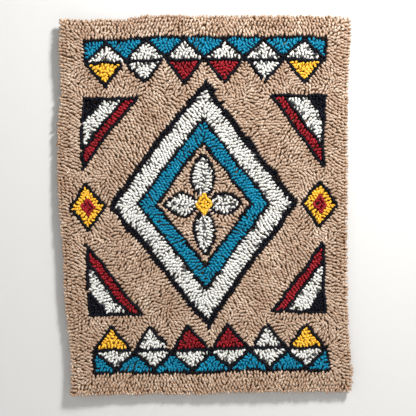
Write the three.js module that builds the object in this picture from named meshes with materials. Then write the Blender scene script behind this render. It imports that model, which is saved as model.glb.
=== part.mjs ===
// A hooked wall hanging: one upright panel of cloth, its front covered with short yarn loops.
// Millimetres, +Z up. The panel hangs against the plane y = 0 and its pile faces -Y. The origin is the
// middle of the top edge, on that plane.
import * as THREE from 'three';

// Driving dimensions.
const panelHeight = 606;
const halfWidth = 231;
const clothDepth = 2.2; // the foundation cloth and the flat stitches on its back
const pileDepth = 7.6; // the loops, from the cloth to their tips
const pileSway = 0.7; // how far the loop tips rise and fall over the panel
const cornerPull = 5; // how far each corner falls short of a sharp one
const cornerPower = 24; // the higher this is, the nearer to the corner the pull begins
const columns = 26; // of the grid that the panel is built on
const rows = 34;

// How far each side edge bows out from halfWidth, at a distance down from the top.
const sideEdges = [
  { down: 0, left: 4, right: 4 },
  { down: 55, left: 1, right: 0 },
  { down: 120, left: 0, right: -2 },
  { down: 175, left: 5, right: -3 },
  { down: 265, left: 4, right: -3 },
  { down: 370, left: -4, right: -4 },
  { down: 460, left: -8, right: -3 },
  { down: 530, left: -16, right: 0 },
  { down: 580, left: -17, right: 5 },
  { down: panelHeight, left: -16, right: 5 },
];

// How far the top edge dips below the origin, and how far the bottom edge falls past panelHeight, at a
// distance across from the left edge.
const endEdges = [
  { across: 0, topDip: 7, bottomDrop: 4 },
  { across: 65, topDip: 7, bottomDrop: 1 },
  { across: 80, topDip: 4.5, bottomDrop: 0 },
  { across: 98, topDip: 7, bottomDrop: 2 },
  { across: 130, topDip: 1, bottomDrop: 1 },
  { across: 225, topDip: 0, bottomDrop: 1 },
  { across: 245, topDip: 0, bottomDrop: -1 },
  { across: 395, topDip: 0.5, bottomDrop: -3 },
  { across: 2 * halfWidth, topDip: 3, bottomDrop: -2 },
];

// The rounded rim, from the turned edge of the cloth to the loops on the front. inset is measured in from
// the outline, and depth out from the back of the cloth.
const rim = [
  { inset: 5, depth: 0 },
  { inset: 1.6, depth: 1.6 },
  { inset: 0, depth: 5 },
  { inset: 1.8, depth: 8.2 },
  { inset: 6.5, depth: clothDepth + pileDepth },
];
const backRing = rim[0];
const frontRing = rim[rim.length - 1];

// Where the panel stands off the plane behind it. A lift starts at a distance from the panel's middle line,
// or from its top, and is at its height at the edge, where it swells and fades along the edge.
const lifts = {
  left: { start: 120, height: 8, swell: 0.35, wave: 330, phase: 0.6 },
  right: { start: 140, height: 3.5, swell: 0.4, wave: 410, phase: 2.1 },
  bottom: { start: 370, height: 6, swell: 0.3, wave: 300, phase: 1.2 },
};

// The long slow waves of the pile's face, by how far they run and how much of pileSway they take.
const faceWaves = { across: 31, down: 43, diagonal: 17, diagonalShare: 0.4, phase: 0.8 };

// A smooth function through the rows of a table.
function curveThrough(table, at, value) {
  const curve = new THREE.CubicInterpolant(table.map((row) => row[at]), table.map((row) => row[value]), 1);
  return (distance) => curve.evaluate(distance)[0];
}

const leftBow = curveThrough(sideEdges, 'down', 'left');
const rightBow = curveThrough(sideEdges, 'down', 'right');
const topDip = curveThrough(endEdges, 'across', 'topDip');
const bottomDrop = curveThrough(endEdges, 'across', 'bottomDrop');

// The place inside the outline that is u of the way across and v of the way down.
function placeInOutline(u, v) {
  const across = 2 * halfWidth * u;
  const down = panelHeight * v;
  const x = THREE.MathUtils.lerp(-halfWidth - leftBow(down), halfWidth + rightBow(down), u);
  const z = THREE.MathUtils.lerp(-topDip(across), -panelHeight - bottomDrop(across), v);
  const [sideways, upward] = [2 * u - 1, 1 - 2 * v];
  const pull = cornerPull * Math.abs(sideways * upward) ** cornerPower;
  return { x: x - pull * Math.sign(sideways), z: z - pull * Math.sign(upward) };
}

function liftAt(lift, distance, edge, along) {
  const rise = THREE.MathUtils.clamp((distance - lift.start) / (edge - lift.start), 0, 1);
  const wave = Math.sin((2 * Math.PI * along) / lift.wave + lift.phase);
  return lift.height * (1 - lift.swell + lift.swell * wave) * rise * rise;
}

function standOff(x, z) {
  return liftAt(lifts.left, -x, halfWidth, -z)
    + liftAt(lifts.right, x, halfWidth, -z)
    + liftAt(lifts.bottom, -z, panelHeight, x + halfWidth);
}

function faceSway(x, z) {
  const { across, down, diagonal, diagonalShare, phase } = faceWaves;
  const squareOn = Math.sin(x / across + phase) * Math.cos(z / down);
  return pileSway * (squareOn + diagonalShare * Math.sin((x + z) / diagonal));
}

// The point of a ring of the rim, or of the sheet that the ring bounds, at a place in the grid.
function pointAt(column, row, ring) {
  const insetU = ring.inset / (2 * halfWidth);
  const insetV = ring.inset / panelHeight;
  const u = insetU + (1 - 2 * insetU) * (column / columns);
  const v = insetV + (1 - 2 * insetV) * (row / rows);
  const { x, z } = placeInOutline(u, v);
  const sway = ring === frontRing ? faceSway(x, z) : 0;
  return [x, -standOff(x, z) - ring.depth - sway, z];
}

// The border of the grid, walked once round from the top left: across, down, back and up.
function borderCells() {
  const cells = [];
  for (let column = 0; column < columns; column += 1) cells.push([column, 0]);
  for (let row = 0; row < rows; row += 1) cells.push([columns, row]);
  for (let column = columns; column > 0; column -= 1) cells.push([column, rows]);
  for (let row = rows; row > 0; row -= 1) cells.push([0, row]);
  return cells;
}

function panelGeometry() {
  const points = [];
  const faces = [];

  function addPoint(point) {
    points.push(point);
    return points.length - 1;
  }

  function addQuad(a, b, c, d) {
    faces.push(a, b, c, a, c, d);
  }

  function addSheet(ring) {
    const sheet = [];
    for (let row = 0; row <= rows; row += 1) {
      const line = [];
      for (let column = 0; column <= columns; column += 1) line.push(addPoint(pointAt(column, row, ring)));
      sheet.push(line);
    }
    return sheet;
  }

  const back = addSheet(backRing);
  const front = addSheet(frontRing);
  for (let row = 0; row < rows; row += 1) {
    for (let column = 0; column < columns; column += 1) {
      const [below, right] = [row + 1, column + 1];
      addQuad(front[row][column], front[below][column], front[below][right], front[row][right]);
      addQuad(back[row][column], back[row][right], back[below][right], back[below][column]);
    }
  }

  const border = borderCells();
  const rings = rim.map((ring) => border.map(([column, row]) => {
    if (ring === backRing) return back[row][column];
    if (ring === frontRing) return front[row][column];
    return addPoint(pointAt(column, row, ring));
  }));
  for (let index = 1; index < rings.length; index += 1) {
    const [inner, outer] = [rings[index - 1], rings[index]];
    border.forEach((cell, step) => {
      const next = (step + 1) % border.length;
      addQuad(inner[step], outer[step], outer[next], inner[next]);
    });
  }

  const geometry = new THREE.BufferGeometry();
  geometry.setAttribute('position', new THREE.Float32BufferAttribute(points.flat(), 3));
  geometry.setIndex(faces);
  geometry.computeVertexNormals();
  return geometry;
}

const yarn = new THREE.MeshStandardMaterial({ color: 0xb08d6e, roughness: 0.95, metalness: 0 });

const hanging = new THREE.Mesh(panelGeometry(), yarn);
hanging.name = 'hanging';

const part = new THREE.Group();
part.add(hanging);

export default part;
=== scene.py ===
import math

import bpy
import numpy as np
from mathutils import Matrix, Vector, kdtree
from mathutils.bvhtree import BVHTree


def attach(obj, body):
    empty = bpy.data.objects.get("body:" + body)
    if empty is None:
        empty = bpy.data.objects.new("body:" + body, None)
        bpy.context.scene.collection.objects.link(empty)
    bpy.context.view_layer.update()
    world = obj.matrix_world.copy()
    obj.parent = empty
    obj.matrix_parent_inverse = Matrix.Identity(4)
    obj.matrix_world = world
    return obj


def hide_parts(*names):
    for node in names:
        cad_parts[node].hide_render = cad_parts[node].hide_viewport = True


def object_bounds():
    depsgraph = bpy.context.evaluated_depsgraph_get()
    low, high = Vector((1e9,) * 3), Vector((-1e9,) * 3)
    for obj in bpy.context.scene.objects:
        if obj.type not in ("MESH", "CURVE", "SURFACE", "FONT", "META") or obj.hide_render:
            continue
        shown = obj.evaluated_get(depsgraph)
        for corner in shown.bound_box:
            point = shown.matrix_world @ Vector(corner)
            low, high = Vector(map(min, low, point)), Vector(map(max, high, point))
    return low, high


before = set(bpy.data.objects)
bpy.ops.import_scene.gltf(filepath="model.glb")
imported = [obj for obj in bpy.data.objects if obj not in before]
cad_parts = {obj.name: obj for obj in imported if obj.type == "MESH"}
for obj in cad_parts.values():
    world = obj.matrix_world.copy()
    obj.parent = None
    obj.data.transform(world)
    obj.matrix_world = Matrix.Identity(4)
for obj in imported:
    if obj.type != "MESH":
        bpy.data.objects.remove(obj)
cadLow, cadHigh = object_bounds()
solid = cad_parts["hanging"]
middle = (cadLow + cadHigh) / 2
mm = 0.001  # the design and the yarn are in millimetres, the scene in metres
rng = np.random.default_rng(41)
print("stage: frame loaded")


def addObject(name, data):
    made = bpy.data.objects.new(name, data)
    bpy.context.scene.collection.objects.link(made)
    return made


# camera
cameraSettings = {
    "lens": 60.0,
    "sensor": 36.0,
    "shownHeight": 0.6642,  # metres of the panel's plane from top to bottom of the view
    "aimAcross": 0.0055,  # the panel sits a little left of the middle of the view
    "aimUp": -0.005,
}


def makeCamera(settings):
    camera = addObject("camera", bpy.data.cameras.new("camera"))
    camera.data.lens = settings["lens"]
    camera.data.sensor_width = settings["sensor"]
    distance = settings["shownHeight"] * settings["lens"] / settings["sensor"]
    camera.location = (middle.x + settings["aimAcross"], cadLow.y - distance, middle.z + settings["aimUp"])
    camera.rotation_euler = (math.radians(90), 0, 0)
    bpy.context.scene.camera = camera


makeCamera(cameraSettings)


# the solid's outline and back, measured
measureSettings = {
    "samples": 161,  # along each edge
    "cornerClear": 0.03,  # of an edge's length at each end, where the corners are rounded
    "onward": 9,  # samples that say which way an edge runs on into its corner
    "cornerPull": 0.005,  # how far each of the solid's corners falls short of a sharp one
    "cornerPower": 24,
    "backInset": 0.012,  # the back is read this far inside the outline
    "backGrid": (49, 65),
    "behind": 0.2,  # and from this far behind
}


def crossings(points, edges, along, across, at):
    # where the mesh's edges cross a line at this place along one axis: the lowest and highest of the other
    low, high = points[edges[:, 0]], points[edges[:, 1]]
    swap = low[:, along] > high[:, along]
    low[swap], high[swap] = high[swap], low[swap].copy()
    hit = (low[:, along] <= at) & (high[:, along] > at)
    low, high = low[hit], high[hit]
    share = (at - low[:, along]) / (high[:, along] - low[:, along])
    found = low[:, across] + share * (high[:, across] - low[:, across])
    return found.min(), found.max()


def measureOutline(settings):
    # left and right by share of the height from the bottom, bottom and top by share of the width
    data = solid.data
    points = np.empty(len(data.vertices) * 3)
    data.vertices.foreach_get("co", points)
    points = points.reshape(-1, 3)
    edges = np.empty(len(data.edges) * 2, np.int64)
    data.edges.foreach_get("vertices", edges)
    edges = edges.reshape(-1, 2)
    clear = settings["cornerClear"]
    shares = np.linspace(clear, 1 - clear, settings["samples"])
    heights = cadLow.z + (cadHigh.z - cadLow.z) * shares
    left, right = np.array([crossings(points, edges, 2, 0, z) for z in heights]).T
    lowEnds = left[0] + (right[0] - left[0]) * shares
    highEnds = left[-1] + (right[-1] - left[-1]) * shares
    bottom = np.array([crossings(points, edges, 0, 2, x)[0] for x in lowEnds])
    top = np.array([crossings(points, edges, 0, 2, x)[1] for x in highEnds])
    k = settings["onward"]
    onward = clear / (shares[k] - shares[0])
    pull = settings["cornerPull"] * np.abs(2 * shares - 1) ** settings["cornerPower"]
    edge = {"shares": np.concatenate([[0], shares, [1]])}
    sides = (("left", left, -1), ("right", right, 1), ("bottom", bottom, -1), ("top", top, 1))
    for name, values, outward in sides:
        values = values + outward * pull
        first = values[0] + (values[0] - values[k]) * onward
        last = values[-1] + (values[-1] - values[-1 - k]) * onward
        edge[name] = np.concatenate([[first], values, [last]])
    return edge


outline = measureOutline(measureSettings)
flatWidth = float(np.mean(outline["right"] - outline["left"])) / mm
flatHeight = float(np.mean(outline["top"] - outline["bottom"])) / mm


def panelPlace(x, z):
    # flat cloth, in millimetres from its middle, to the hanging's own x and z in metres
    u, v = x / flatWidth + 0.5, z / flatHeight + 0.5
    left, right = (np.interp(v, outline["shares"], outline[side]) for side in ("left", "right"))
    bottom, top = (np.interp(u, outline["shares"], outline[side]) for side in ("bottom", "top"))
    return left + (right - left) * u, bottom + (top - bottom) * v


def measureBack(settings):
    data = solid.data
    tree = BVHTree.FromPolygons([v.co for v in data.vertices], [p.vertices for p in data.polygons])
    columns, rows = settings["backGrid"]
    inset = settings["backInset"] / mm
    xs = np.linspace(-flatWidth / 2 + inset, flatWidth / 2 - inset, columns)
    zs = np.linspace(-flatHeight / 2 + inset, flatHeight / 2 - inset, rows)
    depth = np.zeros((columns, rows))
    for i, x in enumerate(xs):
        for j, z in enumerate(zs):
            px, pz = panelPlace(x, z)
            depth[i, j] = tree.ray_cast(Vector((px, settings["behind"], pz)), Vector((0, -1, 0)))[0].y
    return xs, zs, depth


backXs, backZs, backDepth = measureBack(measureSettings)


def backPlace(x, z):
    # y of the hanging's back at a flat place, read between the four measured ones round it
    i = np.clip((x - backXs[0]) / (backXs[1] - backXs[0]), 0, len(backXs) - 1.001)
    j = np.clip((z - backZs[0]) / (backZs[1] - backZs[0]), 0, len(backZs) - 1.001)
    a, b = np.floor(i).astype(int), np.floor(j).astype(int)
    s, t = i - a, j - b
    near = backDepth[a, b] * (1 - s) + backDepth[a + 1, b] * s
    far = backDepth[a, b + 1] * (1 - s) + backDepth[a + 1, b + 1] * s
    return near * (1 - t) + far * t


def onPanel(x, z, depth):
    # a point this many millimetres in front of the back, over a flat place
    placedX, placedZ = panelPlace(x, z)
    return np.stack([placedX, backPlace(x, z) - depth * mm, placedZ], -1)


def panelAxes(x, z):
    # which way the panel runs to the right and up, and which way is out of it, at flat places; the last is
    # only about 1 long
    right = onPanel(x + 1, z, 0) - onPanel(x - 1, z, 0)
    up = onPanel(x, z + 1, 0) - onPanel(x, z - 1, 0)
    right /= np.linalg.norm(right, axis=1, keepdims=True)
    up /= np.linalg.norm(up, axis=1, keepdims=True)
    return right, up, np.cross(right, up)


def halfSizes(inset):
    # half the flat cloth's width and height, less this much
    return flatWidth / 2 - inset, flatHeight / 2 - inset


def fromSides(x, z):
    # how far flat places lie inside the side edges, and inside the top and bottom ones
    return flatWidth / 2 - np.abs(x), flatHeight / 2 - np.abs(z)


print(f"stage: panel measured, {flatWidth:.0f} by {flatHeight:.0f} mm flat")


# the design: lines that are hooked first, and the colour inside each
rowPitch = 5.2
designSettings = {
    "medallion": {
        "rings": [
            {"half": (153.8, 200.8), "line": None, "fill": "dark"},  # a second dark row, outside the line
            {"half": (144, 188), "line": "dark", "fill": "white"},
            {"half": (105, 137), "line": "dark", "fill": "teal"},
            {"half": (76, 99), "line": "dark", "fill": "ground"},
        ],
    },
    "petals": {"from": 9, "lengths": (53, 72), "width": 36, "vein": 0.80, "widest": 0.85, "roundness": 0.8},
    "heart": {"half": (12, 15)},
    "bands": {
        "out": 268,
        "halfWidth": 192,
        "depth": 36,
        "zigzags": 6,
        "zigzagInset": 4,
        "teeth": ("gold", "white", "red", "red", "white", "gold"),
        "tooth": 37,
        "toothInset": 3,
    },
    "corners": {
        "across": 192,
        "up": 174,
        "rings": (((84, 112), "red"), ((63, 84), "white"), ((27, 36), "dark")),
    },
    "sideDiamonds": {"across": 186, "rings": (((27, 36), "dark", "gold"), ((9, 12), "red", "red"))},
    "mottle": {"share": 0.4, "reach": 1.25},  # grey loops among the white, within so many rows of dark
}


def diamond(centre, half):
    return np.array([(half[0], 0), (0, half[1]), (-half[0], 0), (0, -half[1])], float) + centre


def cornerPiece(corner, legs, inward):
    return np.array([(0, 0), (legs[0], 0), (0, legs[1])], float) * inward + corner


def petal(base, length, angle, settings):
    t = np.linspace(0, 1, 11)
    half = settings["width"] / 2 * np.sin(math.pi * t ** settings["widest"]) ** settings["roundness"]
    oneSide, otherSide = np.stack([t * length, half], 1), np.stack([t * length, -half], 1)
    turn = np.array([[math.cos(angle), math.sin(angle)], [-math.sin(angle), math.cos(angle)]])
    return np.concatenate([oneSide, otherSide[-2:0:-1]]) @ turn + base


def rectangle(x0, z0, x1, z1):
    return np.array([(x0, z0), (x1, z0), (x1, z1), (x0, z1)], float)


def insetRectangle(inset):
    halfW, halfH = halfSizes(inset)
    return rectangle(-halfW, -halfH, halfW, halfH)


def drawDesign(settings):
    shapes = []

    def add(points, line, fill=None, closed=True, thin=False):
        points = np.array(points, float)
        shapes.append({"points": points, "line": line, "fill": fill, "closed": closed, "thin": thin})

    for ring in settings["medallion"]["rings"]:
        add(diamond((0, 0), ring["half"]), ring["line"], ring["fill"])
    petals = settings["petals"]
    for k in range(4):
        angle = k * math.pi / 2
        heading = np.array([math.cos(angle), math.sin(angle)])
        length = petals["lengths"][k % 2]
        base = heading * petals["from"]
        add(petal(base, length, angle, petals), "dark", "white")
        add([base, base + heading * length * petals["vein"]], "grey", closed=False, thin=True)
    add(diamond((0, 0), settings["heart"]["half"]), "gold", "gold", thin=True)

    bands = settings["bands"]
    half, depth, inset = bands["halfWidth"], bands["depth"], bands["zigzagInset"]
    for up in (1, -1):
        outer, inner = up * bands["out"], up * (bands["out"] - depth)
        add(rectangle(-half, outer, half, inner), "dark", "teal")
        turns = np.linspace(-half + inset, half - inset, 2 * bands["zigzags"] + 1)
        levels = np.where(np.arange(len(turns)) % 2, outer - up * inset, inner + up * inset)
        add([(turns[0], inner), *zip(turns, levels), (turns[-1], inner)], None, "white")
        add(np.stack([turns, levels], 1), "dark", closed=False, thin=True)
        share = 2 * half / len(bands["teeth"])
        for k, colour in enumerate(bands["teeth"]):
            x = (k + 0.5) * share - half
            wide = share / 2 - bands["toothInset"]
            tip = (x, inner - up * bands["tooth"])
            add([(x - wide, inner), (x + wide, inner), tip], "dark", colour, thin=True)

    corners = settings["corners"]
    for side in (1, -1):
        for up in (1, -1):
            corner = (side * corners["across"], up * corners["up"])
            inward = (-side, -up)
            for legs, fill in corners["rings"]:
                add(cornerPiece(corner, legs, inward), "dark", fill, thin=True)
        centre = (side * settings["sideDiamonds"]["across"], 0)
        for half, line, fill in settings["sideDiamonds"]["rings"]:
            add(diamond(centre, half), line, fill, thin=True)
    return shapes


def inside(points, x, z):
    # even-odd test of many places against one closed outline
    found = np.zeros(x.shape, bool)
    for (x0, z0), (x1, z1) in zip(points, np.roll(points, -1, 0)):
        spans = (z0 > z) != (z1 > z)
        with np.errstate(divide="ignore", invalid="ignore"):
            crossing = (x1 - x0) * (z - z0) / (z1 - z0) + x0
        found ^= spans & (x < crossing)
    return found


def colourAt(shapes, x, z):
    found = np.full(x.shape, "ground", dtype=object)
    for shape in shapes:
        if shape["fill"]:
            found[inside(shape["points"], x, z)] = shape["fill"]
    return found


shapes = drawDesign(designSettings)


# rows of loops: along the lines, then echoing them
rowSettings = {
    "spacing": 5.3,  # from loop to loop along a row
    "edgeTight": 0.97,  # times that for the rows along the panel's edge
    "echoRange": (0.97, 1.04),  # and for the echoing rows
    "thinSpacing": 5.0,  # along a thin line, where the loops lie end to end
    "edgeInsets": (3.6, 7.8, 12.4),  # the rows that follow the panel's edge
    "edgeHold": 0.2,  # how freely they move: 1 is as the others do
    "lineHold": 0.25,  # the same for those on the design's lines
    "echoInset": 15.6,  # echoing rows stay this far inside it
    "cell": 1.25,
    "wobble": 2.6,
    "wobbleFade": 12,  # it is full this far from the lines
    "crowding": 0.62,  # a loop nearer its neighbour than this is left out
    "gap": 0.73,  # and one is added where a gap is wider than this
    "gapInset": 4,  # gaps are sought this far inside the edge
    "gapStep": 1.7,
    "reach": 1.12,  # loops ease apart up to this
    "settleRounds": 24,
    "settlePush": 0.18,
    "settleMost": 0.6,  # millimetres in one round
    "jitter": (0.4, 0.6),  # along the row and across it
    "leastJitter": 0.4,  # the share of it that even the loops held most have
    "edgeJitter": 1.0,  # added to both beside the panel's edge, fading inwards
    "edgeFade": 15,
    "edgeWave": 1.1,  # how far the rows along the edge stray from straight
}


def slowNoise(x, z, seed, scale):
    # a few long waves, from about -1 to 1
    waves = np.random.default_rng(seed)
    total = np.zeros(np.shape(x))
    for _ in range(7):
        angle, phase = waves.uniform(0, 2 * math.pi, 2)
        length = scale * waves.uniform(0.6, 1.7)
        total = total + np.sin((x * math.cos(angle) + z * math.sin(angle)) * 2 * math.pi / length + phase)
    return total / 3.2


def alongLine(points, spacing, closed, phase):
    # places at even steps along a line, with its direction at each
    if closed:
        points = np.concatenate([points, points[:1]])
    lengths = np.hypot(*np.diff(points, axis=0).T)
    keep = lengths > 1e-6
    points = np.concatenate([points[:-1][keep], points[-1:]])
    reach = np.concatenate([[0], np.cumsum(lengths[keep])])
    count = max(int(round(reach[-1] / spacing)), 1)
    offsets = (np.arange(count) + (phase if closed else 0.5)) * reach[-1] / count
    look = 1.5  # how far ahead and behind each place
    at, ahead, behind = (
        np.stack([np.interp(offsets + shift, reach, points[:, k]) for k in range(2)], 1)
        for shift in (0, look, -look)
    )
    way = ahead - behind
    return at, np.arctan2(way[:, 1], way[:, 0])


def treeOf(places):
    tree = kdtree.KDTree(len(places))
    for k, (x, z) in enumerate(places):
        tree.insert((x, z, 0), k)
    tree.balance()
    return tree


def distanceField(shapes, settings):
    # how far each cell lies from the nearest line, made to wander a little
    linePoints = []
    for shape in [shape for shape in shapes if shape["line"]]:
        points = shape["points"]
        if shape["closed"]:
            points = np.concatenate([points, points[:1]])
        for a, b in zip(points[:-1], points[1:]):
            count = max(int(np.hypot(*(b - a))), 1)
            linePoints += [a + (b - a) * k / count for k in range(count + 1)]
    tree = treeOf(linePoints)
    xs = np.arange(-flatWidth / 2, flatWidth / 2, settings["cell"])
    zs = np.arange(-flatHeight / 2, flatHeight / 2, settings["cell"])
    field = np.array([[tree.find((x, z, 0))[2] for z in zs] for x in xs])
    gridX, gridZ = np.meshgrid(xs, zs, indexing="ij")
    fade = np.clip(field / settings["wobbleFade"], 0, 1)
    return xs, zs, field + settings["wobble"] * fade * slowNoise(gridX, gridZ, 5, 48)


def contourLines(xs, zs, field, level):
    # every line on which the field has this level, as (points, closed)
    above = field > level
    columns, rows = field.shape
    ids = np.arange(columns * rows).reshape(columns, rows)
    flatEdge = above[:-1] != above[1:]  # between neighbours along x
    uprightEdge = above[:, :-1] != above[:, 1:]
    upright = columns * rows
    near, far = flatEdge[:, :-1], flatEdge[:, 1:]
    left, right = uprightEdge[:-1], uprightEdge[1:]
    links = {}

    def link(a, b):
        links.setdefault(a, []).append(b)
        links.setdefault(b, []).append(a)

    for i, j in np.argwhere(near | far | left | right):
        edges = (
            (near, ids[i, j]), (left, ids[i, j] + upright),
            (far, ids[i, j + 1]), (right, ids[i + 1, j] + upright),
        )
        found = [int(edge) for crossed, edge in edges if crossed[i, j]]
        link(found[0], found[1])
        if len(found) == 4:
            link(found[2], found[3])

    def place(edge):
        i, j = divmod(edge % upright, rows)
        di, dj = (1, 0) if edge < upright else (0, 1)
        a, b = field[i, j], field[i + di, j + dj]
        share = (level - a) / (b - a)
        return xs[i] + share * di * (xs[1] - xs[0]), zs[j] + share * dj * (zs[1] - zs[0])

    lines, used = [], set()
    starts = [e for e in links if len(links[e]) == 1] + list(links)
    for start in starts:
        if start in used:
            continue
        chain, here = [start], start
        used.add(start)
        while True:
            onward = [e for e in links[here] if e not in used]
            if not onward:
                break
            here = onward[0]
            used.add(here)
            chain.append(here)
        closed = len(chain) > 2 and chain[0] in links[chain[-1]]
        lines.append((np.array([place(e) for e in chain]), closed))
    return lines


class Loops:
    # the loops laid so far: place, the way each faces and its row runs, colour, how freely it moves
    binSize = 9

    def __init__(self):
        self.places, self.angles, self.rows, self.ways = [], [], [], []
        self.colours, self.hold, self.bins = [], [], {}

    def binOf(self, x, z):
        return int(x // self.binSize), int(z // self.binSize)

    def sortBins(self):
        self.bins = {}
        for k, place in enumerate(self.places):
            self.bins.setdefault(self.binOf(*place), []).append(k)

    def clear(self, x, z, angle, limit):
        i, j = self.binOf(x, z)
        c, s = math.cos(angle), math.sin(angle)
        wide, high = rowSettings["spacing"], rowPitch
        for a in (i - 1, i, i + 1):
            for b in (j - 1, j, j + 1):
                for k in self.bins.get((a, b), ()):
                    dx, dz = self.places[k][0] - x, self.places[k][1] - z
                    c2, s2 = self.ways[k]
                    own = math.hypot((dx * c + dz * s) / wide, (dz * c - dx * s) / high)
                    other = math.hypot((dx * c2 + dz * s2) / wide, (dz * c2 - dx * s2) / high)
                    if 2 * own * other < limit * (own + other):
                        return False
        return True

    def add(self, at, rows, colours, hold, limit, turned=0.0):
        # each of these that is clear of the loops before it
        for (x, z), row, colour in zip(at, rows, colours):
            angle = row + turned
            if self.clear(x, z, angle, limit):
                self.bins.setdefault(self.binOf(x, z), []).append(len(self.places))
                self.places.append((x, z))
                self.angles.append(angle)
                self.rows.append(row)
                self.ways.append((math.cos(angle), math.sin(angle)))
                self.colours.append(colour)
                self.hold.append(hold)


def layLoops(shapes, settings):
    loops = Loops()
    crowding = settings["crowding"]
    for k, inset in enumerate(settings["edgeInsets"]):
        spacing = settings["spacing"] * settings["edgeTight"]
        at, rows = alongLine(insetRectangle(inset), spacing, True, rng.random())
        stray = settings["edgeWave"] * min(k, 1) * slowNoise(*at.T, 9 + k, 30)
        at += stray[:, None] * np.stack([-np.sin(rows), np.cos(rows)], 1)
        loops.add(at, rows, ["ground"] * len(at), settings["edgeHold"], crowding)
    for shape in [shape for shape in reversed(shapes) if shape["line"]]:
        spacing = settings["thinSpacing"] if shape["thin"] else settings["spacing"]
        at, rows = alongLine(shape["points"], spacing, shape["closed"], rng.random())
        turned = math.pi / 2 * shape["thin"]
        loops.add(at, rows, [shape["line"]] * len(at), settings["lineHold"], crowding, turned)
    lineCount = len(loops.places)

    xs, zs, field = distanceField(shapes, settings)
    halfW, halfH = halfSizes(settings["echoInset"])
    level = rowPitch
    while level < field.max():
        for points, closed in contourLines(xs, zs, field, level):
            if len(points) < 4:
                continue
            spacing = settings["spacing"] * rng.uniform(*settings["echoRange"])
            at, rows = alongLine(points, spacing, closed, rng.random())
            fits = (np.abs(at[:, 0]) < halfW) & (np.abs(at[:, 1]) < halfH)
            at, rows = at[fits], rows[fits]
            loops.add(at, rows, colourAt(shapes, *at.T), 1.0, crowding)
        level += rowPitch
    rowCount = len(loops.places)

    slopeX, slopeZ = np.gradient(field, settings["cell"])
    halfW, halfH = halfSizes(settings["gapInset"])
    step = settings["gapStep"]
    for _ in range(2):
        at = np.stack(np.meshgrid(np.arange(-halfW, halfW, step), np.arange(-halfH, halfH, step)), -1)
        at = at.reshape(-1, 2)
        at = at[rng.permutation(len(at))]
        i = np.clip(((at[:, 0] - xs[0]) / settings["cell"]).astype(int), 0, len(xs) - 1)
        j = np.clip(((at[:, 1] - zs[0]) / settings["cell"]).astype(int), 0, len(zs) - 1)
        rows = np.arctan2(slopeX[i, j], -slopeZ[i, j])
        loops.add(at, rows, colourAt(shapes, *at.T), 1.0, settings["gap"])
        settle(loops, settings)
        loops.sortBins()
    places = np.array(loops.places)
    nearEdge = np.exp(-np.minimum(*fromSides(*places.T)) / settings["edgeFade"])
    spread = np.array(settings["jitter"]) * (1 + settings["edgeJitter"] * nearEdge)[:, None]
    freely = np.clip(loops.hold, settings["leastJitter"], 1)[:, None]
    along, across = (rng.normal(0, spread) * freely).T
    cosine, sine = np.array(loops.ways).T
    loops.places = places + np.stack([along * cosine - across * sine, along * sine + across * cosine], 1)
    echoCount, fillCount = rowCount - lineCount, len(places) - rowCount
    print(f"  {lineCount} loops on lines, {echoCount} in echoing rows, {fillCount} between")
    return loops


def settle(loops, settings):
    # loops that crowd each other ease apart, as yarn does
    places = np.array(loops.places)
    cosine, sine = np.cos(loops.angles), np.sin(loops.angles)
    hold = np.array(loops.hold)[:, None]
    wide, high = settings["spacing"], rowPitch
    reach = settings["reach"]
    limit = np.array(halfSizes(settings["edgeInsets"][0]))
    least = 0.02  # so that loops in the same place can part

    def asShaped(away, k):
        # offsets along and across these loops, in steps of the layout
        along = (away[:, 0] * cosine[k] + away[:, 1] * sine[k]) / wide
        return along, (away[:, 1] * cosine[k] - away[:, 0] * sine[k]) / high

    for _ in range(settings["settleRounds"]):
        tree = treeOf(places)
        found = [tree.find_range((x, z, 0), high * reach) for x, z in places]
        a, b = np.array([(k, other[1]) for k, others in enumerate(found) for other in others]).T
        a, b = a[a != b], b[a != b]
        away = places[a] - places[b]
        along, across = asShaped(away, a)
        own, other = np.hypot(along, across) + least, np.hypot(*asShaped(away, b)) + least
        close = 2 * own * other / (own + other)
        push = np.clip(reach - close, 0, 1) / close
        along, across = along * push * wide, across * push * high
        moved = settings["settlePush"] * np.stack([
            np.bincount(a, along * cosine[a] - across * sine[a], len(places)),
            np.bincount(a, along * sine[a] + across * cosine[a], len(places)),
        ], 1)
        size = np.hypot(*moved.T)
        moved *= (np.minimum(size, settings["settleMost"]) / np.maximum(size, 1e-9))[:, None]
        places = np.clip(places + moved * hold, -limit, limit)
    loops.places = [tuple(place) for place in places]


def mottle(places, colours, settings):
    # grey loops here and there where white meets dark
    tree = treeOf(places[colours == "dark"])
    near = np.array([tree.find((x, z, 0))[2] for x, z in places]) < settings["reach"] * rowPitch
    picked = rng.random(len(places)) < settings["share"]
    return np.where((colours == "white") & near & picked, "grey", colours)


loops = layLoops(shapes, rowSettings)
loopPlaces = np.array(loops.places)
loopAngles = np.array(loops.angles)
loopRows = np.array(loops.rows)
loopColours = mottle(loopPlaces, np.array(loops.colours, dtype=object), designSettings["mottle"])
print(f"stage: {len(loopPlaces)} loops laid")


# meshes from arrays
def meshFromArrays(name, points, corners, sizes, uvs=None):
    mesh = bpy.data.meshes.new(name)
    mesh.vertices.add(len(points))
    mesh.vertices.foreach_set("co", np.ascontiguousarray(points, np.float32).ravel())
    mesh.loops.add(len(corners))
    mesh.loops.foreach_set("vertex_index", np.ascontiguousarray(corners, np.int32))
    mesh.polygons.add(len(sizes))
    starts = np.concatenate([[0], np.cumsum(sizes)[:-1]]).astype(np.int32)
    mesh.polygons.foreach_set("loop_start", starts)
    mesh.polygons.foreach_set("use_smooth", np.ones(len(sizes), bool))
    for layerName, values in (uvs or {}).items():
        layer = mesh.uv_layers.new(name=layerName)
        layer.uv.foreach_set("vector", np.ascontiguousarray(values, np.float32).ravel())
    mesh.update(calc_edges=True)
    mesh.validate()
    return addObject(name, mesh)


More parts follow.
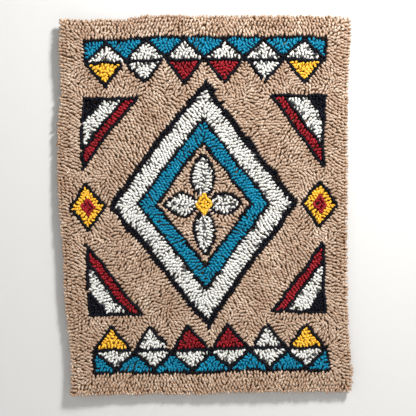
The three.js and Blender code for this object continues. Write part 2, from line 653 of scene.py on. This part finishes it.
def addShade(piece, shades, heights):
    # three random numbers for each loop, and how high each of its points stands
    values = np.empty((*heights.shape, 4), np.float32)
    values[..., :3] = shades[:, None]
    values[..., 3] = heights
    shade = piece.data.attributes.new("loopShade", "FLOAT_COLOR", "POINT")
    shade.data.foreach_set("color", values.ravel())


def tubeTopology(count, rings, sides):
    # corner indices, face sizes and (ring, side) of each corner, for many closed tubes in one mesh
    ring, side = np.meshgrid(np.arange(rings - 1), np.arange(sides), indexing="ij")
    ring, side = ring.ravel(), side.ravel()
    quadRing = np.stack([ring, ring + 1, ring + 1, ring], 1)
    quadSide = np.stack([side, side, side + 1, side + 1], 1)
    capSide = np.arange(sides)
    oneRing = np.concatenate([quadRing.ravel(), np.zeros(sides, int), np.full(sides, rings - 1)])
    oneSide = np.concatenate([quadSide.ravel(), capSide, capSide[::-1]])
    isCap = np.concatenate([np.zeros(quadRing.size, bool), np.ones(2 * sides, bool)])
    one = oneRing * sides + oneSide % sides
    corners = (np.arange(count)[:, None] * rings * sides + one[None]).ravel()
    sizes = np.tile(np.concatenate([np.full(len(ring), 4), [sides, sides]]), count)
    return corners, sizes, oneRing, oneSide, isCap


# yarn loops
loopSettings = {
    "yarnRadius": 2.1,
    "halfSpan": 2.6,  # from the loop's middle to each of its legs
    "height": 5.6,  # of the yarn's middle at the top of the loop, over the cloth
    "cloth": 2.2,  # depth of the cloth's front, from the back
    "root": 0.8,  # how far the legs reach into the cloth
    "around": (-138, -66, 0, 66, 138),  # degrees round the yarn, closest on its outer side
    "arch": (12, 43, 74, 106, 137, 168),  # degrees round the loop's top
    "flatness": 0.7,  # of that top: 1 is round
    "turn": 8.0,  # length of one turn of the plies
    "heightSpread": 0.3,
    "thinRise": 0.8,  # more for the loops of thin lines
    "thinFatter": 0.12,
    "spanRange": (0.9, 1.12),
    "radiusSpread": 0.07,
    "skew": 0.25,  # how far the tops lie off the middle
    "rootShare": (0.85, 0.8),  # the legs' span and thickness where they go into the cloth
    "acrossRow": 1.40,  # radians from the row to the way the loops lie
    "turnSpread": 0.18,  # that each lies off that
    "edgeSpread": 0.35,  # more of it beside the edge
    "edgeFade": 12,
    "patchTurn": 0.40,  # and that whole patches do
    "lean": 0.08,
    "patchLean": 0.18,
    "mostLean": 1.15,
    # the lean outwards, by distance from the edge
    "edgeLean": ((0.0, 0.85), (5.0, 0.65), (9.0, 0.38), (14.5, 0.12), (20.0, 0.0)),
}


def loopPoints(places, angles, thin, settings):
    # every ring of every loop: an array of loops by rings by sides by xyz, the yarn's length at each ring,
    # where its twist begins, and how high each point stands, from 0 at the cloth to 1 at the top
    count = len(places)
    x, z = places.T
    fromSide, fromEnd = fromSides(x, z)
    nearEdge = np.exp(-np.minimum(fromSide, fromEnd) / settings["edgeFade"])
    spread = settings["turnSpread"] + settings["edgeSpread"] * nearEdge
    angle = angles + settings["acrossRow"] + settings["patchTurn"] * slowNoise(x, z, 11, 90)
    angle += rng.normal(0, 1, count) * spread
    right, up, out = panelAxes(x, z)
    out /= np.linalg.norm(out, axis=1, keepdims=True)
    along = right * np.cos(angle)[:, None] + up * np.sin(angle)[:, None]
    # leaning: a little anyhow, by patches, and outwards at the edges
    lean = rng.normal(0, settings["lean"], (count, 2))
    lean[:, 0] += settings["patchLean"] * slowNoise(x, z, 21, 60)
    lean[:, 1] += settings["patchLean"] * slowNoise(x, z, 22, 60)
    insets, amounts = np.array(settings["edgeLean"]).T
    lean[:, 0] += np.sign(x) * np.interp(fromSide, insets, amounts)
    lean[:, 1] += np.sign(z) * np.interp(fromEnd, insets, amounts)
    lean *= np.minimum(settings["mostLean"] / np.maximum(np.hypot(*lean.T), 1e-6), 1)[:, None]
    axis = out + right * lean[:, :1] + up * lean[:, 1:]
    axis /= np.linalg.norm(axis, axis=1, keepdims=True)

    span = settings["halfSpan"] * rng.uniform(*settings["spanRange"], count)
    height = settings["height"] + rng.normal(0, settings["heightSpread"], count)
    height = height + settings["thinRise"] * thin
    radius = 1 + rng.normal(0, settings["radiusSpread"], count) + settings["thinFatter"] * thin
    radius = settings["yarnRadius"] * radius
    theta = np.radians(settings["arch"])
    rootSpan, rootThickness = settings["rootShare"]
    flatPart = np.concatenate([[-rootSpan], -np.cos(theta), [rootSpan]])[None] * span[:, None]
    rise = (height - span)[:, None] + np.sin(theta)[None] ** settings["flatness"] * span[:, None]
    root = np.full((count, 1), -settings["root"])
    risePart = np.concatenate([root, rise, root], 1)
    skew = rng.normal(0, settings["skew"], count)[:, None] * risePart / settings["height"]
    base = onPanel(x, z, settings["cloth"])
    centre = (
        base[:, None]
        + along[:, None] * (flatPart + skew)[..., None] * mm
        + axis[:, None] * risePart[..., None] * mm
    )
    tangent = np.gradient(centre, axis=1)
    tangent /= np.linalg.norm(tangent, axis=2, keepdims=True)
    binormal = np.cross(np.broadcast_to(axis[:, None], tangent.shape), along[:, None])
    binormal /= np.linalg.norm(binormal, axis=2, keepdims=True)
    normal = np.cross(tangent, binormal)
    steps = np.linalg.norm(np.diff(centre, axis=1), axis=2)
    length = np.concatenate([np.zeros((count, 1)), np.cumsum(steps, 1)], 1) / mm
    phi = np.radians(settings["around"])
    phase = rng.random(count)
    size = np.repeat(radius[:, None, None] * mm, length.shape[1], 1)
    size[:, [0, -1]] *= rootThickness
    points = (
        centre[:, :, None]
        + (np.cos(phi)[None, None] * size)[..., None] * normal[:, :, None]
        + (np.sin(phi)[None, None] * size)[..., None] * binormal[:, :, None]
    )
    above = np.einsum("krsc,kc->krs", points - base[:, None, None], axis)
    return points, length, phase, np.clip(above / ((height + radius) * mm)[:, None, None], 0, 1)


def bakeCells(count, ringShare, sideShare, isCap):
    # each loop gets a square of its own in the piece's bake map, with its two ends in the border
    grid = math.ceil(math.sqrt(count))
    pad = 0.06
    turn = 2 * math.pi * sideShare
    capV = np.where(ringShare > 0.5, 0.75, 0.25) + 0.1 * np.sin(turn)
    u = np.where(isCap, pad / 2 + pad / 3 * np.cos(turn), pad + ringShare * (1 - 2 * pad))
    v = np.where(isCap, capV, pad + sideShare * (1 - 2 * pad))
    k = np.arange(count)
    cell = np.stack([k % grid, k // grid], 1)
    return ((cell[:, None] + np.stack([u, v], 1)[None]) / grid).reshape(-1, 2)


def makeLoops(name, picked, settings):
    points, length, phase = allLoopPoints[picked], allLengths[picked], allPhases[picked]
    count, rings, sides = points.shape[:3]
    corners, sizes, ring, side, isCap = tubeTopology(count, rings, sides)
    around = np.append(settings["around"], settings["around"][0] + 360) / 360
    turns = length[:, ring] / settings["turn"] + phase[:, None]
    strand = np.stack([turns, np.tile(around[side], (count, 1))], -1)
    uvs = {
        "strand": strand.reshape(-1, 2),
        "OFBake": bakeCells(count, ring / (rings - 1), side / sides, isCap),
    }
    made = meshFromArrays(name, points.reshape(-1, 3), corners, sizes, uvs)
    addShade(made, allShades[picked], allHeights[picked].reshape(count, -1))
    return made


thinLoops = loopAngles != loopRows
allLoopPoints, allLengths, allPhases, allHeights = loopPoints(
    loopPlaces, loopAngles, thinLoops, loopSettings
)
allShades = rng.random((len(loopPlaces), 3))
allShades[:, 2] = 0.5 + 0.5 * slowNoise(loopPlaces[:, 0], loopPlaces[:, 1], 31, 45)


# node helpers
def newGroup(name, inputs, outputs):
    # sockets by name: a number is a value socket that starts at it, a word is another kind
    group = bpy.data.node_groups.new(name, "ShaderNodeTree")
    for way, sockets in (("INPUT", inputs), ("OUTPUT", outputs)):
        for socketName, kind in sockets.items():
            word = kind if isinstance(kind, str) else "Float"
            made = group.interface.new_socket(name=socketName, in_out=way, socket_type=f"NodeSocket{word}")
            if word != kind:
                made.default_value = kind
    given, result = group.nodes.new("NodeGroupInput"), group.nodes.new("NodeGroupOutput")
    return group, given.outputs, result.inputs


def calculator(tree):
    # calc("ADD", a, b) makes a Math node in this tree and gives its output
    def calc(operation, *values):
        node = tree.nodes.new("ShaderNodeMath")
        node.operation = operation
        for socket, value in zip(node.inputs, values):
            if isinstance(value, (int, float)):
                socket.default_value = value
            else:
                tree.links.new(value, socket)
        return node.outputs[0]

    return calc


def mixColour(tree, share, first, second, blend="MIX"):
    node = tree.nodes.new("ShaderNodeMix")
    node.data_type = "RGBA"
    node.blend_type = blend
    factor = [s for s in node.inputs if s.name == "Factor" and s.enabled][0]
    colours = [s for s in node.inputs if s.type == "RGBA"]
    for socket, value in zip([factor, *colours], (share, first, second)):
        if hasattr(value, "is_linked"):
            tree.links.new(value, socket)
        else:
            socket.default_value = value
    return [s for s in node.outputs if s.type == "RGBA"][0]


def mixShaders(tree, share, first, second, output):
    mix = tree.nodes.new("ShaderNodeMixShader")
    for value, socket in zip((share, first, second), mix.inputs):
        tree.links.new(value, socket)
    tree.links.new(mix.outputs[0], tree.nodes[output].inputs["Surface"])


def setInputs(node, values):
    for name, value in values.items():
        node.inputs[name].default_value = value


def newMaterial(name):
    material = bpy.data.materials.new(name)
    material.use_nodes = True
    return material, material.node_tree, material.node_tree.nodes["Principled BSDF"]


def bumped(tree, shader, height, strength, distance):
    bump = tree.nodes.new("ShaderNodeBump")
    setInputs(bump, {"Strength": strength, "Distance": distance})
    tree.links.new(height, bump.inputs["Height"])
    tree.links.new(bump.outputs[0], shader.inputs["Normal"])


def srgb(r, g, b):
    # a colour as it is seen, 0 to 255, to the numbers that shaders use
    seen = np.array([r, g, b]) / 255
    linear = np.where(seen <= 0.04045, seen / 12.92, ((seen + 0.055) / 1.055) ** 2.4)
    return (*[float(value) for value in linear], 1.0)


# yarn finish
yarnFinish = {
    "fibres": (7.0, 5.0, 3.0),  # how fine they are along the yarn and round it, and the noise's detail
    "patches": (2.2, 1.1, 1.0),
    "noiseRoughness": 0.6,
    "unlike": 57.0,  # how far apart in the noise two loops can be
    "fibreShare": 0.4,  # of the heather, of which patches have the rest
    "contrast": 4.0,
    "byLoop": 0.6,
    "byArea": 0.5,
    "creaseShade": (0.55, 0.45, 0.38, 1.0),
    "lowShadeReach": 2.2,  # how soon the painted shade low on the loops comes in, going down
    "roughness": (0.2, 0.4),  # by fibre, and the least
    "fibreHeight": 0.2,  # beside the plies' own
    "bump": (1.0, 0.0009),  # strength, and metres from the crease to the top of a ply
}


def makeYarnGroup(settings):
    # Root is the tint of the painted shade low on the loops, towards the cloth
    group, given, result = newGroup(
        "yarnFinish",
        {
            "Strand": "Vector", "Loop": "Color", "Rise": 1.0, "Deep": "Color", "Main": "Color",
            "Pale": "Color", "Root": "Color", "Heather": 0.5, "Marl": 0.0, "Crease": 0.8,
        },
        {"Color": "Color", "Roughness": "Float", "Height": "Float"},
    )
    calc = calculator(group)
    strand = group.nodes.new("ShaderNodeSeparateXYZ")
    group.links.new(given["Strand"], strand.inputs[0])
    along, around = strand.outputs[0], strand.outputs[1]
    loop = group.nodes.new("ShaderNodeSeparateColor")
    group.links.new(given["Loop"], loop.inputs[0])
    # the two plies run round the yarn: 0 to 1 across each, highest in its middle
    turned = calc("MULTIPLY", calc("SUBTRACT", around, along), 2.0)
    offset = calc("MULTIPLY_ADD", calc("FRACT", turned), 2.0, -1.0)
    squared = calc("MULTIPLY", offset, offset)
    onePly = calc("MULTIPLY_ADD", calc("PINGPONG", calc("FLOOR", turned), 1.0), 2.0, -1.0)

    def grain(alongScale, aroundScale, detail):
        angle = calc("MULTIPLY", around, 2 * math.pi)
        place = group.nodes.new("ShaderNodeCombineXYZ")
        parts = (
            calc("MULTIPLY_ADD", loop.outputs[0], settings["unlike"], calc("MULTIPLY", along, alongScale)),
            calc("MULTIPLY", calc("COSINE", angle), aroundScale),
            calc("MULTIPLY", calc("SINE", angle), aroundScale),
        )
        for part, socket in zip(parts, place.inputs):
            group.links.new(part, socket)
        noise = group.nodes.new("ShaderNodeTexNoise")
        setInputs(noise, {"Scale": 1.0, "Detail": detail, "Roughness": settings["noiseRoughness"]})
        group.links.new(place.outputs[0], noise.inputs["Vector"])
        return noise.outputs[0]

    fine, broad = grain(*settings["fibres"]), grain(*settings["patches"])

    def fromHalf(value, reach):
        return calc("MULTIPLY", calc("SUBTRACT", value, 0.5), reach)

    # heather: pale and deep fibres in patches along the yarn, from loop to loop and from area to area
    share = settings["fibreShare"]
    mixed = calc("ADD", calc("MULTIPLY", broad, 1 - share), calc("MULTIPLY", fine, share))
    byLoop = fromHalf(loop.outputs[1], settings["byLoop"])
    byArea = fromHalf(loop.outputs[2], settings["byArea"])
    swing = calc("ADD", fromHalf(mixed, settings["contrast"]), calc("ADD", byLoop, byArea))
    swing = calc("MULTIPLY", swing, given["Heather"])
    swing = calc("ADD", swing, calc("MULTIPLY", onePly, given["Marl"]))

    def upToOne(value):
        return calc("MINIMUM", calc("MAXIMUM", value, 0.0), 1.0)

    colour = mixColour(group, upToOne(swing), given["Main"], given["Pale"])
    colour = mixColour(group, upToOne(calc("MULTIPLY", swing, -1.0)), colour, given["Deep"])
    # the crease between the plies holds shade
    crease = calc("MULTIPLY", calc("MULTIPLY", squared, squared), given["Crease"])
    shaded = mixColour(group, 1.0, given["Deep"], settings["creaseShade"], "MULTIPLY")
    creased = mixColour(group, crease, colour, shaded)
    # painted shade low down: towards the cloth the colour is multiplied by the root tint, darker and
    # warmer, standing in for light that has gone from yarn to yarn and taken more of their colour
    low = calc("MULTIPLY", calc("SUBTRACT", 1.0, given["Rise"]), settings["lowShadeReach"])
    paintedLowShade = mixColour(group, upToOne(low), (1.0, 1.0, 1.0, 1.0), given["Root"])
    group.links.new(mixColour(group, 1.0, creased, paintedLowShade, "MULTIPLY"), result["Color"])
    group.links.new(calc("MULTIPLY_ADD", fine, *settings["roughness"]), result["Roughness"])
    height = calc("SUBTRACT", calc("MULTIPLY", fine, settings["fibreHeight"]), squared)
    group.links.new(height, result["Height"])
    return group


yarnGroup = makeYarnGroup(yarnFinish)
# root is the tint of the painted shade low on the loops, darker and warmer towards the cloth
yarnUsual = {"root": (0.95, 0.93, 0.9, 1.0), "marl": 0.0, "crease": 0.8}  # where a colour has none
yarnColours = {
    "ground": {
        "deep": srgb(143, 106, 78), "main": srgb(171, 147, 126), "pale": srgb(230, 215, 199),
        # the ground's painted shade low on the loops is warmer
        "root": (1.0, 0.8, 0.6, 1.0),
        "heather": 0.75, "crease": 0.5, "gloss": 0.6, "sheen": 0.12,
    },
    "dark": {
        "deep": srgb(6, 7, 11), "main": srgb(13, 14, 22), "pale": srgb(28, 31, 44),
        "heather": 0.5, "gloss": 0.08, "sheen": 0.0,
    },
    "teal": {
        "deep": srgb(0, 74, 102), "main": srgb(0, 122, 156), "pale": srgb(6, 158, 190),
        "heather": 0.6, "gloss": 0.2, "sheen": 0.03,
    },
    "gold": {
        "deep": srgb(206, 132, 22), "main": srgb(245, 186, 50), "pale": srgb(255, 216, 98),
        "heather": 0.6, "gloss": 0.25, "sheen": 0.08,
    },
    "red": {
        "deep": srgb(82, 8, 18), "main": srgb(144, 19, 32), "pale": srgb(180, 42, 52),
        "heather": 0.6, "gloss": 0.18, "sheen": 0.03,
    },
    "white": {
        "deep": srgb(176, 174, 164), "main": srgb(220, 221, 217), "pale": srgb(241, 241, 237),
        "heather": 0.5, "gloss": 0.3, "sheen": 0.08,
    },
    "grey": {
        "deep": srgb(44, 46, 52), "main": srgb(130, 130, 126), "pale": srgb(222, 221, 214),
        "heather": 0.3, "marl": 0.9, "gloss": 0.3, "sheen": 0.05,
    },
}


def makeYarnMaterial(name, colours):
    colours = {**yarnUsual, **colours}
    material, tree, shader = newMaterial(name)
    strand = tree.nodes.new("ShaderNodeUVMap")
    strand.uv_map = "strand"
    loop = tree.nodes.new("ShaderNodeAttribute")
    loop.attribute_name = "loopShade"
    finish = tree.nodes.new("ShaderNodeGroup")
    finish.node_tree = yarnGroup
    tree.links.new(strand.outputs[0], finish.inputs["Strand"])
    tree.links.new(loop.outputs["Color"], finish.inputs["Loop"])
    tree.links.new(loop.outputs["Alpha"], finish.inputs["Rise"])
    own = ("Deep", "Main", "Pale", "Root", "Heather", "Marl", "Crease")
    setInputs(finish, {socket: colours[socket.lower()] for socket in own})
    bumped(tree, shader, finish.outputs["Height"], *yarnFinish["bump"])
    tree.links.new(finish.outputs["Color"], shader.inputs["Base Color"])
    tree.links.new(finish.outputs["Roughness"], shader.inputs["Roughness"])
    sheen = {"Sheen Weight": colours["sheen"], "Sheen Roughness": 0.5, "Sheen Tint": colours["pale"]}
    setInputs(shader, {**sheen, "Specular IOR Level": colours["gloss"]})
    return material


yarnMaterials = {name: makeYarnMaterial(f"{name}Yarn", colours) for name, colours in yarnColours.items()}

pileSettings = {"most": 2400}  # loops to a piece
ringCount, sideCount = allLoopPoints.shape[1:3]
facesEach = 2 * (ringCount - 1) * sideCount + 2 * (sideCount - 2)
pilePieces = []
for colour in yarnColours:
    found = np.flatnonzero(loopColours == colour)
    found = found[np.argsort(-loopPlaces[found, 1], kind="stable")]
    parts = max(math.ceil(len(found) / pileSettings["most"]), 1)
    for k, share in enumerate(np.array_split(found, parts)):
        name = f"{colour}Pile" if parts == 1 else f"{colour}Pile{k + 1}"
        piece = makeLoops(name, share, loopSettings)
        piece.data.materials.append(yarnMaterials[colour])
        pilePieces.append(piece)
        print(f"  {name}: {len(share)} loops, {len(share) * facesEach} triangles")
print("stage: pile made")


# foundation cloth, its edge turned to the back as a hem
clothSettings = {
    "columns": 46,
    "rows": 60,
    "hem": 30.0,
    # the way round the turned edge: how far in from the outline, and how far out from the back
    "turn": (
        (6.0, 2.2), (2.4, 2.2), (1.4, 1.9), (1.0, 1.1), (1.4, 0.3), (2.4, 0.02),  # over the edge
        (12.0, 0.0), (21.0, 0.0), (29.4, 0.05), (30.0, 0.5), (29.4, 0.95),  # the hem, and its folded end
        (14.0, 1.0), (3.0, 1.05), (3.0, 1.15), (14.0, 1.2), (34.0, 1.2),  # back under it
    ),
}


def makeCloth(settings):
    columns, rows = settings["columns"], settings["rows"]

    def place(column, row, ring):
        inset, depth = ring
        x = (column / columns - 0.5) * (flatWidth - 2 * inset)
        z = (0.5 - row / rows) * (flatHeight - 2 * inset)
        return onPanel(x, z, depth)

    border = [(c, 0) for c in range(columns)] + [(columns, r) for r in range(rows)]
    border += [(c, rows) for c in range(columns, 0, -1)] + [(0, r) for r in range(rows, 0, -1)]
    borderColumn, borderRow = np.array(border).T
    gridRow, gridColumn = np.meshgrid(np.arange(rows + 1), np.arange(columns + 1), indexing="ij")
    front, back = settings["turn"][0], settings["turn"][-1]
    across = columns + 1
    points = [place(gridColumn.ravel(), gridRow.ravel(), ring) for ring in (front, back)]
    sheetSize = across * (rows + 1)
    r, c = (value.ravel() for value in np.meshgrid(np.arange(rows), np.arange(columns), indexing="ij"))
    a, b, d, e = r * across + c, (r + 1) * across + c, (r + 1) * across + c + 1, r * across + c + 1
    quads = [np.stack([a, b, d, e], 1), np.stack([a, e, d, b], 1) + sheetSize]
    borderIds = borderRow * across + borderColumn
    rings = [borderIds]
    total = 2 * sheetSize
    for ring in settings["turn"][1:-1]:
        points.append(place(borderColumn, borderRow, ring))
        rings.append(np.arange(total, total + len(border)))
        total += len(border)
    rings.append(borderIds + sheetSize)
    for inner, outer in zip(rings[:-1], rings[1:]):
        quads.append(np.stack([inner, np.roll(inner, -1), np.roll(outer, -1), outer], 1))
    quads = np.concatenate(quads)
    return meshFromArrays("foundationCloth", np.concatenate(points), quads.ravel(), np.full(len(quads), 4))


cloth = makeCloth(clothSettings)
print("stage: cloth made")


# flat stitches on the back, and the thread that holds the hem
backStitch = {
    "length": 5.8, "halfWidth": 2.5, "thick": 1.1, "sides": 3, "depth": 0.7,
    "clearOfHem": 1.5, "turnSpread": 0.08,
}
hemStitch = {
    "length": 6.0, "halfWidth": 0.45, "thick": 0.9, "sides": 6, "depth": 0.1,
    "pitch": 8.0, "slant": 0.5, "inset": 30.0,
}
stitchEnds = {"fullTo": 0.55, "tipShare": 0.22}  # where the full width ends, from the middle and from a tip


def makeStitches(name, x, z, angle, settings):
    # short lengths of yarn lying flat on the back, pointed where they go through the cloth
    count, sides = len(x), settings["sides"]
    right, up, out = panelAxes(x, z)
    along = right * np.cos(angle)[:, None] + up * np.sin(angle)[:, None]
    across = np.cross(out, along)
    length = settings["length"] * rng.uniform(0.9, 1.1, count)
    base = onPanel(x, z, settings["depth"])
    phi = np.arange(sides) * 2 * math.pi / sides - math.pi / 2
    ring = across[:, None] * (np.cos(phi) * settings["halfWidth"])[None, :, None] * mm
    ring = ring + out[:, None] * (np.sin(phi) * settings["thick"] / 2)[None, :, None] * mm
    reach = along * (length / 2)[:, None] * mm
    start, end = base - reach, base + reach
    fullTo, tip = stitchEnds["fullTo"], stitchEnds["tipShare"]
    near, far = (base[:, None] + ring + (reach * share)[:, None] for share in (-fullTo, fullTo))
    points = np.concatenate([start[:, None], near, far, end[:, None]], 1)
    side = np.arange(sides)
    onward = (side + 1) % sides
    tipFaces = np.stack([np.zeros(sides, int), 1 + onward, 1 + side], 1)
    bandFaces = np.stack([1 + side, 1 + onward, 1 + sides + onward, 1 + sides + side], 1)
    endFaces = np.stack([1 + sides + side, 1 + sides + onward, np.full(sides, 1 + 2 * sides)], 1)
    one = np.concatenate([tipFaces.ravel(), bandFaces.ravel(), endFaces.ravel()])
    corners = (np.arange(count)[:, None] * (2 * sides + 2) + one[None]).ravel()
    sizes = np.tile(np.repeat([3, 4, 3], sides), count)
    shares = ((0, tip, tip), (tip, tip, 1 - tip, 1 - tip), (1 - tip, 1 - tip, 1))
    placeAlong = np.concatenate([np.tile(share, sides) for share in shares])
    tipAround = np.stack([side + 0.5, side + 1, side], 1)
    bandAround = np.stack([side, side + 1, side + 1, side], 1)
    endAround = np.stack([side, side + 1, side + 0.5], 1)
    placeAround = np.concatenate([tipAround.ravel(), bandAround.ravel(), endAround.ravel()]) / sides
    turns = placeAlong * settings["length"] / loopSettings["turn"] + rng.random(count)[:, None]
    strand = np.stack([turns, np.tile(placeAround, (count, 1))], -1)
    uvs = {
        "strand": strand.reshape(-1, 2),
        "OFBake": bakeCells(count, placeAlong, placeAround, np.zeros(len(placeAlong), bool)),
    }
    return meshFromArrays(name, points.reshape(-1, 3), corners, sizes, uvs)


hemInside = clothSettings["hem"] + backStitch["clearOfHem"]
shown = np.minimum(*fromSides(*loopPlaces.T)) > hemInside
backX, backZ = loopPlaces[shown].T
backAngles = loopRows[shown] + rng.normal(0, backStitch["turnSpread"], len(backX))
backStitches = makeStitches("backStitches", backX, backZ, backAngles, backStitch)
colourOrder = list(yarnColours)
for colour in colourOrder:
    backStitches.data.materials.append(yarnMaterials[colour])
slots = np.repeat([colourOrder.index(c) for c in loopColours[shown]], 3 * backStitch["sides"])
backStitches.data.polygons.foreach_set("material_index", slots.astype(np.int32))
addShade(backStitches, allShades[shown], np.ones((len(backX), 2 * backStitch["sides"] + 2)))

hemAt, hemAngles = alongLine(insetRectangle(hemStitch["inset"]), hemStitch["pitch"], True, 0.3)
hemAngles = hemAngles + hemStitch["slant"] + math.pi / 4
hemStitches = makeStitches("hemStitches", hemAt[:, 0], hemAt[:, 1], hemAngles, hemStitch)
print(f"stage: {len(backX)} back stitches, {len(hemAt)} hem stitches")


# cloth finish
def makeWeaveGroup():
    group, given, result = newGroup(
        "plainWeave", {"Vector": "Vector", "Pitch": 0.0018}, {"Height": "Float", "Crease": "Float"}
    )
    calc = calculator(group)
    parts = group.nodes.new("ShaderNodeSeparateXYZ")
    group.links.new(given["Vector"], parts.inputs[0])
    across = calc("DIVIDE", parts.outputs[0], given["Pitch"])
    upward = calc("DIVIDE", parts.outputs[2], given["Pitch"])

    def thread(value):
        # a round thread's height across it
        offset = calc("MULTIPLY_ADD", calc("FRACT", value), 2.0, -1.0)
        squared = calc("MULTIPLY", offset, offset)
        return calc("SQRT", calc("MAXIMUM", calc("SUBTRACT", 1.0, squared), 0.0))

    def either(first, second):
        # one at odd crossings, the other at even ones
        kept = calc("MULTIPLY", second, calc("SUBTRACT", 1.0, parity))
        return calc("ADD", calc("MULTIPLY", first, parity), kept)

    parity = calc("ADD", calc("FLOOR", across), calc("FLOOR", upward))
    parity = calc("PINGPONG", parity, 1.0)
    warp, weft = thread(across), thread(upward)
    bend = calc("MULTIPLY_ADD", either(weft, warp), 0.5, 0.5)
    height = calc("MULTIPLY", either(warp, weft), bend)
    group.links.new(height, result["Height"])
    # Crease: how low between the threads a place lies, where painted shade goes
    group.links.new(calc("SUBTRACT", 1.0, height), result["Crease"])
    return group


weaveGroup = makeWeaveGroup()


clothFinish = {
    "pitch": 0.0021,  # metres from thread to thread
    "patches": {"Scale": 60.0, "Detail": 4.0},
    "deep": srgb(138, 108, 76),
    "pale": srgb(176, 146, 110),
    # the colour of the painted shade between the threads, and how much of it
    "gapShade": srgb(92, 68, 44),
    "gapShadeShare": 0.6,
    "roughness": (0.15, 0.8),  # by patch, and the least
    "bump": (0.7, 0.0005),
    "gloss": 0.25,
}
threadFinish = {"twist": 6.0, "deep": srgb(150, 118, 86), "pale": srgb(196, 166, 132), "roughness": 0.75}


def makeClothMaterial(settings):
    material, tree, shader = newMaterial("foundationJute")
    calc = calculator(tree)
    place = tree.nodes.new("ShaderNodeTexCoord")
    weave = tree.nodes.new("ShaderNodeGroup")
    weave.node_tree = weaveGroup
    weave.inputs["Pitch"].default_value = settings["pitch"]
    tree.links.new(place.outputs["Object"], weave.inputs["Vector"])
    noise = tree.nodes.new("ShaderNodeTexNoise")
    setInputs(noise, settings["patches"])
    tree.links.new(place.outputs["Object"], noise.inputs["Vector"])
    base = mixColour(tree, noise.outputs[0], settings["deep"], settings["pale"])
    # painted shade between the threads: the weave's crease mixes the cloth towards the dark gap colour
    shade = calc("MULTIPLY", weave.outputs["Crease"], settings["gapShadeShare"])
    tree.links.new(mixColour(tree, shade, base, settings["gapShade"]), shader.inputs["Base Color"])
    roughness = calc("MULTIPLY_ADD", noise.outputs[0], *settings["roughness"])
    tree.links.new(roughness, shader.inputs["Roughness"])
    bumped(tree, shader, weave.outputs["Height"], *settings["bump"])
    setInputs(shader, {"Specular IOR Level": settings["gloss"]})
    return material


def makeThreadMaterial(settings):
    material, tree, shader = newMaterial("hemThread")
    strand = tree.nodes.new("ShaderNodeUVMap")
    strand.uv_map = "strand"
    wave = tree.nodes.new("ShaderNodeTexWave")
    wave.inputs["Scale"].default_value = settings["twist"]
    wave.bands_direction = "DIAGONAL"
    tree.links.new(strand.outputs[0], wave.inputs["Vector"])
    colour = mixColour(tree, wave.outputs[1], settings["deep"], settings["pale"])
    tree.links.new(colour, shader.inputs["Base Color"])
    shader.inputs["Roughness"].default_value = settings["roughness"]
    return material


cloth.data.materials.append(makeClothMaterial(clothFinish))
hemStitches.data.materials.append(makeThreadMaterial(threadFinish))
for piece in [cloth, hemStitches, backStitches, *pilePieces]:
    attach(piece, "root")
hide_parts("hanging")
print("stage: finishes on")


# stage, lights and view
stageSettings = {
    "wallGap": 0.003,
    "wallHalf": 1.6,
    "openInset": 6.0,  # millimetres inside the outline, where the wall is open behind the panel
    "floorDrop": 0.22,
    "floorHalf": 2.2,
    "pale": {"Base Color": (0.56, 0.555, 0.545, 1.0), "Roughness": 0.9},
    "world": 0.46,
    "shownSky": (0.84, 0.83, 0.81, 1),  # the background as the camera sees it
    "key": {"at": (0.75, -0.95, 0.85), "size": 0.3, "power": 49.0},
    "fill": {"at": (-1.2, -1.4, 0.1), "size": 1.4, "power": 4.0},
    "back": {"at": (-0.9, 1.3, 0.4), "size": 1.0, "power": 18.0},
}


def stagePlane(name, corners, faces, material):
    mesh = bpy.data.meshes.new(name)
    mesh.from_pydata(corners, [], faces)
    mesh.materials.append(material)
    addObject(name, mesh)


def paleMaterial(name, finish, oneSided):
    material, tree, shader = newMaterial(name)
    setInputs(shader, finish)
    if oneSided:  # from behind the wall isn't there
        clear = tree.nodes.new("ShaderNodeBsdfTransparent")
        side = tree.nodes.new("ShaderNodeNewGeometry")
        mixShaders(tree, side.outputs["Backfacing"], shader.outputs[0], clear.outputs[0], "Material Output")
    return material


def areaLight(name, settings):
    light = bpy.data.lights.new(name, "AREA")
    light.energy = settings["power"]
    light.size = settings["size"]
    made = addObject(name, light)
    made.location = settings["at"]
    made.rotation_mode = "QUATERNION"
    made.rotation_quaternion = (middle - made.location).to_track_quat("-Z", "Y")


def makeStage(settings):
    half, y = settings["wallHalf"], cadHigh.y + settings["wallGap"]
    floor = cadLow.z - settings["floorDrop"]
    # the opening lets light reach the back too
    opening = [panelPlace(x, z) for x, z in insetRectangle(settings["openInset"])]
    outer = [(-half, floor), (half, floor), (half, half), (-half, half)]
    corners = [(x, y, z) for x, z in outer + opening]
    wallFaces = [(k, (k + 1) % 4, 4 + (k + 1) % 4, 4 + k) for k in range(4)]
    stagePlane("wall", corners, wallFaces, paleMaterial("paleWall", settings["pale"], True))
    far = settings["floorHalf"]
    corners = [(-far, -far, floor), (far, -far, floor), (far, far, floor), (-far, far, floor)]
    stagePlane("floor", corners, [(0, 1, 2, 3)], paleMaterial("paleFloor", settings["pale"], False))
    for name in ("back", "key", "fill"):
        areaLight(name, settings[name])
    world = bpy.data.worlds.new("world")
    bpy.context.scene.world = world
    world.use_nodes = True
    tree = world.node_tree
    sky = tree.nodes["Background"]
    setInputs(sky, {"Color": (1, 1, 1, 1), "Strength": settings["world"]})
    shownSky = tree.nodes.new("ShaderNodeBackground")
    shownSky.inputs["Color"].default_value = settings["shownSky"]
    path = tree.nodes.new("ShaderNodeLightPath")
    isCamera = path.outputs["Is Camera Ray"]
    mixShaders(tree, isCamera, sky.outputs[0], shownSky.outputs[0], "World Output")
    bpy.context.scene.view_settings.view_transform = "Standard"


makeStage(stageSettings)
print("stage: stage and lights set")
